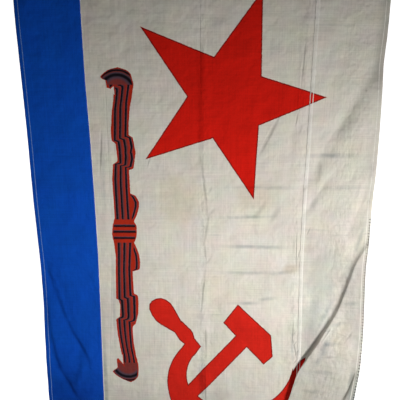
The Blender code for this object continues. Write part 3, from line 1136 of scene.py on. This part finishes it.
GAPS = (  # cloth that shows between a curled end and the ribbon
    ((0.266, 0.388), (0.289, 0.367), (0.292, 0.392)),
    ((0.262, 1.328), (0.281, 1.318), (0.283, 1.356)),
)


def edge_curve(tree, down, points):
    """The distance across, read from a curve against the distance down."""
    share = remapped(tree, down, CURVE_FROM, CURVE_TO)
    made = tree.nodes.new("ShaderNodeFloatCurve")
    tree.links.new(share, made.inputs["Value"])
    curve = made.mapping.curves[0]
    placed = []
    for at, across in points:
        x = (at - CURVE_FROM) / (CURVE_TO - CURVE_FROM)
        placed.append((min(max(x, 0), 1), (across - ACROSS_FROM) / (ACROSS_TO - ACROSS_FROM)))
    while len(curve.points) < len(placed):
        curve.points.new(0.5, 0.5)
    for point, (x, y) in zip(curve.points, placed):
        point.location = (x, y)
        point.handle_type = "VECTOR"
    made.mapping.update()
    return remapped(tree, made.outputs[0], 0, 1, ACROSS_FROM, ACROSS_TO)


print("points on the ribbon's edges:", len(RIBBON_LEFT) + len(RIBBON_RIGHT))

# %% [markdown]
# The ribbon's stripes
#
# The stripes bend with the ribbon, so each is a share of the way from one edge to the other, and a
# colour ramp turns the share into stripes. Two curves of their own bound them, simpler than the
# outline, because the loops and the knot widen only the edge. Where the ribbon is folded over, its
# stripes step aside along a slant. The loops, the knot and the curls have ramps of their own.

# %% The ribbon's stripes
STRIPES_LEFT = (  # (down, across) again, without the loops and the knot's width
    (0.300, 0.262), (0.372, 0.268), (0.378, 0.290), (0.413, 0.286), (0.443, 0.280), (0.544, 0.274),
    (0.545, 0.286), (0.613, 0.290), (0.614, 0.275), (0.672, 0.269), (0.897, 0.268), (1.108, 0.263),
    (1.109, 0.271), (1.177, 0.275), (1.178, 0.261), (1.236, 0.265), (1.325, 0.279), (1.430, 0.270),
)
STRIPES_RIGHT = (
    (0.300, 0.352), (0.381, 0.350), (0.433, 0.339), (0.544, 0.331), (0.545, 0.346), (0.580, 0.352),
    (0.613, 0.342), (0.614, 0.327), (0.722, 0.328), (0.810, 0.330), (0.897, 0.334), (1.003, 0.325),
    (1.108, 0.328), (1.109, 0.342), (1.163, 0.342), (1.177, 0.336), (1.178, 0.321), (1.279, 0.324),
    (1.354, 0.338), (1.430, 0.338),
)
BENDS = (0.580, 0.860, 1.143)  # the middle of each folded length, and of the length between them
BEND_LEAN = 0.355  # how far the folds lean, from the ribbon's left edge
BEND_EDGE = 0.285
STRIPE_PLACES = (0.18, 0.48, 0.80)  # shares of the width, and the bars' of the knot's height
BAR_PLACES = (0.28, 0.53, 0.80)
KNOT = (0.812, 0.897)
LOOP = 0.026  # width of a loop from its outer side
CURLS = (((0.302, 0.385), 0.362, 1), ((0.300, 1.352), 1.350, -1))  # middle, where it starts, side
CURL = 0.082  # radius to which a curl's colours are measured
RIBBON_EDGE = 0.0035  # width of the red edge
RIBBON_RED = (0.42, 0.025, 0.010)
RIBBON_BROWN = (0.20, 0.036, 0.032)
RIBBON_GREY = (0.080, 0.052, 0.072)
RIBBON_BLACK = (0.008, 0.006, 0.009)
LOOP_STOPS = (
    (0.24, RIBBON_RED),
    (0.34, RIBBON_GREY),
    (0.38, RIBBON_BLACK),
    (0.52, RIBBON_BLACK),
    (0.58, RIBBON_GREY),
    (0.66, RIBBON_RED),
)
CURL_STOPS = (
    (0.45, RIBBON_BROWN),
    (0.56, RIBBON_GREY),
    (0.62, RIBBON_BLACK),
    (0.68, RIBBON_BLACK),
    (0.73, RIBBON_GREY),
    (0.77, RIBBON_BROWN),
    (0.80, RIBBON_BLACK),
    (0.84, RIBBON_BLACK),
    (0.88, RIBBON_BROWN),
    (0.91, RIBBON_RED),
)


def ramp(tree, value, stops):
    """A colour read from (place, colour) stops by a value from 0 to 1."""
    made = tree.nodes.new("ShaderNodeValToRGB")
    made.color_ramp.interpolation = "LINEAR"
    elements = made.color_ramp.elements
    while len(elements) < len(stops):
        elements.new(0.5)
    for element, (at, colour) in zip(elements, stops):
        element.position = at
        element.color = (*colour, 1)
    tree.links.new(value, made.inputs[0])
    return made.outputs[0]


def striped(center, after):
    """Ramp stops of one dark stripe with its grey edges, and the colour that follows it."""
    return [
        (center - 0.085, RIBBON_RED),
        (center - 0.060, RIBBON_GREY),
        (center - 0.035, RIBBON_BLACK),
        (center + 0.030, RIBBON_BLACK),
        (center + 0.065, RIBBON_GREY),
        (center + 0.100, after),
    ]


def dark_bars(*centers):
    """Ramp stops of dark stripes at these places, with red between."""
    stops = []
    for center in centers:
        stops += [
            (center - 0.080, RIBBON_RED),
            (center - 0.050, RIBBON_GREY),
            (center - 0.015, RIBBON_BLACK),
            (center + 0.025, RIBBON_BLACK),
            (center + 0.070, RIBBON_RED),
        ]
    return stops


def leaning(tree, across, down):
    """The distance down the ribbon, changed so that each fold's slanting edges come out level."""
    apart = [calc(tree, "SUBTRACT", down, bend) for bend in BENDS]
    side = calc(tree, "MULTIPLY", calc(tree, "MULTIPLY", apart[0], apart[1]), apart[2])
    lean = remapped(tree, side, -0.00002, 0.00002, BEND_LEAN, -BEND_LEAN)
    return calc(tree, "MULTIPLY_ADD", calc(tree, "SUBTRACT", across, BEND_EDGE), lean, down)


def ribbon(tree, place):
    """(distance to the ribbon, its colour)."""
    apart = tree.nodes.new("ShaderNodeSeparateXYZ")
    tree.links.new(place, apart.inputs[0])
    across, down = apart.outputs[0], apart.outputs[1]
    left = edge_curve(tree, down, RIBBON_LEFT)
    right = edge_curve(tree, down, RIBBON_RIGHT)
    level = leaning(tree, across, down)
    start = edge_curve(tree, level, STRIPES_LEFT)
    end = edge_curve(tree, level, STRIPES_RIGHT)
    past_left, past_right = calc(tree, "SUBTRACT", left, across), calc(tree, "SUBTRACT", across, right)
    inside = calc(tree, "MAXIMUM", past_left, past_right)
    above = calc(tree, "SUBTRACT", RIBBON_FROM, down)
    ends = calc(tree, "MAXIMUM", above, calc(tree, "SUBTRACT", down, RIBBON_TO))
    distance = calc(tree, "MAXIMUM", inside, ends)
    for corners in GAPS:
        gap = calc(tree, "MULTIPLY", shape(tree, place, corners), -1.0)
        distance = calc(tree, "MAXIMUM", distance, gap)
    from_start = calc(tree, "SUBTRACT", across, start)
    share = calc(tree, "DIVIDE", from_start, calc(tree, "SUBTRACT", end, start))
    stops = [(0.0, RIBBON_RED)]
    for stripe, after in zip(STRIPE_PLACES, (RIBBON_BROWN, RIBBON_BROWN, RIBBON_RED)):
        stops += striped(stripe, after)
    colour = ramp(tree, share, stops)
    loop = ramp(tree, remapped(tree, calc(tree, "SUBTRACT", right, across), 0, LOOP), LOOP_STOPS)
    colour = mixed(tree, taken(tree, calc(tree, "SUBTRACT", end, across)), colour, loop)
    bars = ramp(tree, remapped(tree, down, *KNOT), dark_bars(*BAR_PLACES))
    in_knot = calc(tree, "ABSOLUTE", calc(tree, "SUBTRACT", down, sum(KNOT) / 2))
    in_knot = calc(tree, "SUBTRACT", in_knot, (KNOT[1] - KNOT[0]) / 2)
    colour = mixed(tree, taken(tree, in_knot), colour, bars)
    for center, limit, side in CURLS:
        far = node(tree, "VectorMath", place, (*center, 1), out="Value", operation="DISTANCE")
        rings = ramp(tree, remapped(tree, far, 0, CURL), CURL_STOPS)
        past = calc(tree, "MULTIPLY_ADD", down, side, -side * limit)
        colour = mixed(tree, taken(tree, past), colour, rings)
    return distance, mixed(tree, ring(tree, distance, RIBBON_EDGE), colour, RIBBON_RED)


print("black stripes:", len(STRIPE_PLACES))

# %% [markdown]
# Printing the white cloth
#
# The main panel takes all three prints, and the strip takes the tips of the star and of the blade
# that run on over the seam. Both read the same shapes at the same place on the cloth, so the two
# parts of a print meet at the seam without any matching. The dye has gathered in a darker line along
# the edge of each red shape.

# %% Printing the white cloth
OLD_FOLD = 0.566  # an old fold that runs down the middle of the flag
LAP_KEPT_CLEAN = 0.0080


def inked(tree, distance, colour, dye):
    """A colour with a shape of dye printed on it, and the dark line along the shape's edge."""
    colour = mixed(tree, taken(tree, distance), colour, dye)
    line = calc(tree, "MULTIPLY", ring(tree, distance, OUTLINE), GATHERED_DYE)
    return mixed(tree, line, colour, DARK_RED)


def field_material():
    material, tree, place, bled = cloth_material("printed_cotton")
    red = star(tree, bled)
    emblem = tools(tree, bled)
    edge, stripes = ribbon(tree, bled)
    white = with_rows(tree, place, WHITE, ((OLD_FOLD, 0.0120, CLEAN, 0.25),))
    colour = inked(tree, red, white, RED)
    colour = inked(tree, emblem, colour, TOOL_RED)
    colour = mixed(tree, taken(tree, edge), colour, stripes)
    span = (STRIPE_SEAM, STRIP_SEAM)
    rows = (
        (STRIPE_SEAM + SEAM_ROW, ROW_REACH, CLEAN, 0.6),
        (STRIP_SEAM - SEAM_ROW, ROW_REACH, CLEAN, 0.6),
    )
    return finish_cloth(material, tree, place, colour, span, STAINS_AND_SHADE, rows=rows)


def strip_material():
    material, tree, place, bled = cloth_material("plain_cotton")
    tip = [STAR_TIPS[0], STAR_NOTCHES[0], STAR_NOTCHES[-1]]
    red = calc(tree, "MINIMUM", shape(tree, bled, tip), blade(tree, bled))
    white = with_rows(tree, place, WHITE, ((STRIP_SEAM, LAP_KEPT_CLEAN, CLEAN, 0.45),))
    colour = inked(tree, red, white, RED)
    span = (STRIP_SEAM, WIDTH)
    rows = (
        (STRIP_SEAM - SEAM_ROW, ROW_REACH, CLEAN, 0.6),
        (STRIP_SEAM + SEAM_ROW, ROW_REACH, CLEAN, 0.6),
        (WIDTH - HEM_ROW, ROW_REACH, CLEAN, 0.5),
    )
    return finish_cloth(material, tree, place, colour, span, STAINS_AND_SHADE, rows=rows)


blue_panel.data.materials.append(blue_material())
field_panel.data.materials.append(field_material())
strip_panel.data.materials.append(strip_material())
for made in bpy.data.materials:
    print(made.name, "has", len(made.node_tree.nodes), "nodes")

# %% [markdown]
# The stitching
#
# Two rows of thread hold each lapped seam, one near each raw edge: white on the strip's seam, blue
# and white on the stripe's. One row runs along each hem. Each stitch is a short bead of thread that
# dips into the cloth at both ends. All of them are laid out flat at an even pitch and hung with the
# cloth, so they follow every fold. The strip's outer edge has also been whipped over with coarse
# dark thread, from a repair.

# %% The stitching
PITCH = 0.0045  # from stitch to stitch
STITCH = (0.0019, 0.0009, 0.0004)  # half length, half width, half height
WHIP_PITCH = 0.0100
WHIP = (0.0036, 0.0021, 0.0010)
WHIP_LEAN = 1.35  # how far each whipped stitch is turned from its row, in radians
WHIPPED = WIDTH - 0.0028
WHIPPED_FROM = 0.80
ON_CLOTH = CLOTH / 2 + 0.0001  # height of a stitch's middle over the middle of its cloth
TOP, END = 0.006, DROP - 0.006  # where the rows down the flag begin and end
EDGE_ROW = 0.0054  # the row along the strip's raw edge, from the seam line


def thread_material(name, colour):
    material = bpy.data.materials.new(name)
    material.use_nodes = True
    shader = material.node_tree.nodes["Principled BSDF"]
    shader.inputs["Base Color"].default_value = (*colour, 1)
    shader.inputs["Roughness"].default_value = 0.8
    shader.inputs["Specular IOR Level"].default_value = 0.1
    return material


def row_of_stitches(name, start, end, material, height=0.0, pitch=PITCH, size=STITCH, lean=0.0):
    """Stitches at an even pitch on a straight line of the flat cloth, hung with it."""
    run = Vector((end[0] - start[0], start[1] - end[1], 0))
    step = run.normalized() * pitch
    first = Vector((start[0], -start[1], height + ON_CLOTH)) + step / 2
    turn = math.atan2(run.y, run.x) + lean
    bm = bmesh.new()
    where = Matrix.LocRotScale(first, Euler((0, 0, turn)), Vector(size))
    bmesh.ops.create_uvsphere(bm, u_segments=6, v_segments=4, radius=1.0, matrix=where)
    row = new_piece(name, bm)
    repeat = row.modifiers.new("row", "ARRAY")
    repeat.count = int(run.length / pitch)
    repeat.use_relative_offset = False
    repeat.use_constant_offset = True
    repeat.constant_offset_displace = step
    finished = row.evaluated_get(bpy.context.evaluated_depsgraph_get())
    row.data = bpy.data.meshes.new_from_object(finished)
    row.modifiers.clear()
    hang(row)
    row.data.materials.append(material)
    row.data.shade_smooth()
    return row


def down_the_flag(name, across, material, **options):
    return row_of_stitches(name, (across, TOP), (across, END), material, **options)


def across_the_flag(name, down, material, **options):
    start, end = (STRIPE_SEAM + LAP, down), (STRIP_SEAM - LAP, down)
    return row_of_stitches(name, start, end, material, **options)


white_thread = thread_material("white_thread", (0.86, 0.83, 0.76))
pale_thread = thread_material("pale_blue_thread", (0.25, 0.40, 0.72))
blue_thread = thread_material("blue_thread", (0.01, 0.07, 0.36))
grey_thread = thread_material("grey_thread", (0.055, 0.055, 0.065))
blue_stitches = [
    down_the_flag("hoist_side_stitches", HEM_ROW, pale_thread),
    down_the_flag("stripe_seam_row_1", STRIPE_SEAM - 0.001, blue_thread),
    down_the_flag("stripe_seam_row_2", STRIPE_SEAM + BLUE_OVER + 0.002, white_thread, height=-LAYER),
]
strip_stitches = [
    down_the_flag("strip_seam_row_1", STRIP_SEAM - EDGE_ROW, white_thread),
    down_the_flag("strip_seam_row_2", STRIP_SEAM + SEAM_ROW, white_thread),
    down_the_flag("fly_side_stitches", WIDTH - HEM_ROW, white_thread),
    row_of_stitches(
        "whipping", (WHIPPED, WHIPPED_FROM), (WHIPPED, END), grey_thread, 0, WHIP_PITCH, WHIP, WHIP_LEAN
    ),
]
field_stitches = [
    across_the_flag("hoist_hem_stitches", HEM_ROW, white_thread, height=-LAYER),
    across_the_flag("end_hem_stitches", DROP - HEM_ROW, white_thread, height=-LAYER),
]
every_row = blue_stitches + strip_stitches + field_stitches
print("stitch faces:", sum(len(row.data.polygons) for row in every_row))

# %% [markdown]
# Attaching the pieces
#
# Each panel stands for one solid of the imported model, which is hidden, and rides with its rows of
# stitches on the one body that there is. The size that it was cut to, hems included, is printed.

# %% Attaching the pieces
PANELS = (  # (panel, the solid that it stands for, its material's slot, width that was cut)
    (blue_panel, "blue_stripe", "blue_cloth", STRIPE_SEAM + BLUE_OVER + HEM),
    (field_panel, "white_field", "printed_white_cloth", STRIP_SEAM - STRIPE_SEAM + LAP),
    (strip_panel, "white_strip", "white_cloth", WIDTH - STRIP_SEAM + HALF_LAP + HEM),
)
THREADS = (blue_stitches, field_stitches, strip_stitches)
for (panel, part, slot, _), rows in zip(PANELS, THREADS):
    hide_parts(part)
    for piece in (panel, *rows):
        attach(piece, "root")

LONG = DROP + 2 * HEM
print("cut in mm:", [(round(1000 * width), round(1000 * LONG)) for *_, width in PANELS])
